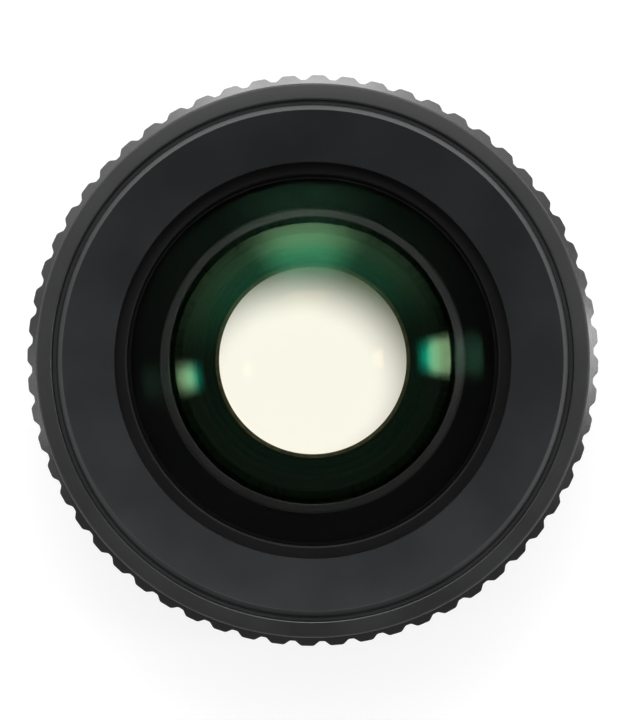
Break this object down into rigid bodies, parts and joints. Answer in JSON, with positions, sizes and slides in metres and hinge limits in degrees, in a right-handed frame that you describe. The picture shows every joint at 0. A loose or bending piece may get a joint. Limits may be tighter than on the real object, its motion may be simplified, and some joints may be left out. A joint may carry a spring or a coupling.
{
  "type": "action camera add-on lens",
  "caption": "Round add-on lens with a scalloped grip, a dished front hood, coated glasses and a male thread behind that screws to a camera's adapter.",
  "frame": {"origin": "centre of the rear end of the mount thread, where the lens stands", "axes": "+Z along the optical axis towards the scene, out of the front glass; +Y towards the top of the picture; the lens is round about Z"},
  "size_m": [0.0516, 0.0516, 0.0284],
  "materials": {
    "anodised_black": "satin black anodised",
    "bezel_black": "fine satin black anodised",
    "hood_black": "satin black anodised",
    "grip_black": "satin black anodised, lightly bead blasted",
    "baffle_black": "matt black optical paint",
    "ring_satin": "satin black anodised",
    "front_glass": "polished, with a green anti-reflection coating",
    "doublet_glass": "polished, with a green anti-reflection coating",
    "rear_glass": "polished, with an amber anti-reflection coating",
    "seal_rubber": "smooth black rubber",
    "stop_brass": "darkened brass with a bare edge",
    "shim_steel": "rolled steel",
    "screw_steel": "blackened steel"
  },
  "bodies": {
    "root": {"barrel": "anodised_black", "cell_retaining_ring": "ring_satin", "crown_glass": "doublet_glass", "flint_glass": "doublet_glass", "focus_shim": "shim_steel", "front_bezel": "bezel_black", "front_glass": "front_glass", "front_retaining_ring": "ring_satin", "front_seal": "seal_rubber", "front_spacer": "baffle_black", "grip_ring": "grip_black", "hood_cone": "hood_black", "lens_cell": "baffle_black", "light_baffle": "baffle_black", "mount_ring": "anodised_black", "mount_screws": "screw_steel", "rear_glass": "rear_glass", "rear_retaining_ring": "baffle_black", "rear_seal": "seal_rubber", "stop_disc": "stop_brass"}
  },
  "joints": []
}
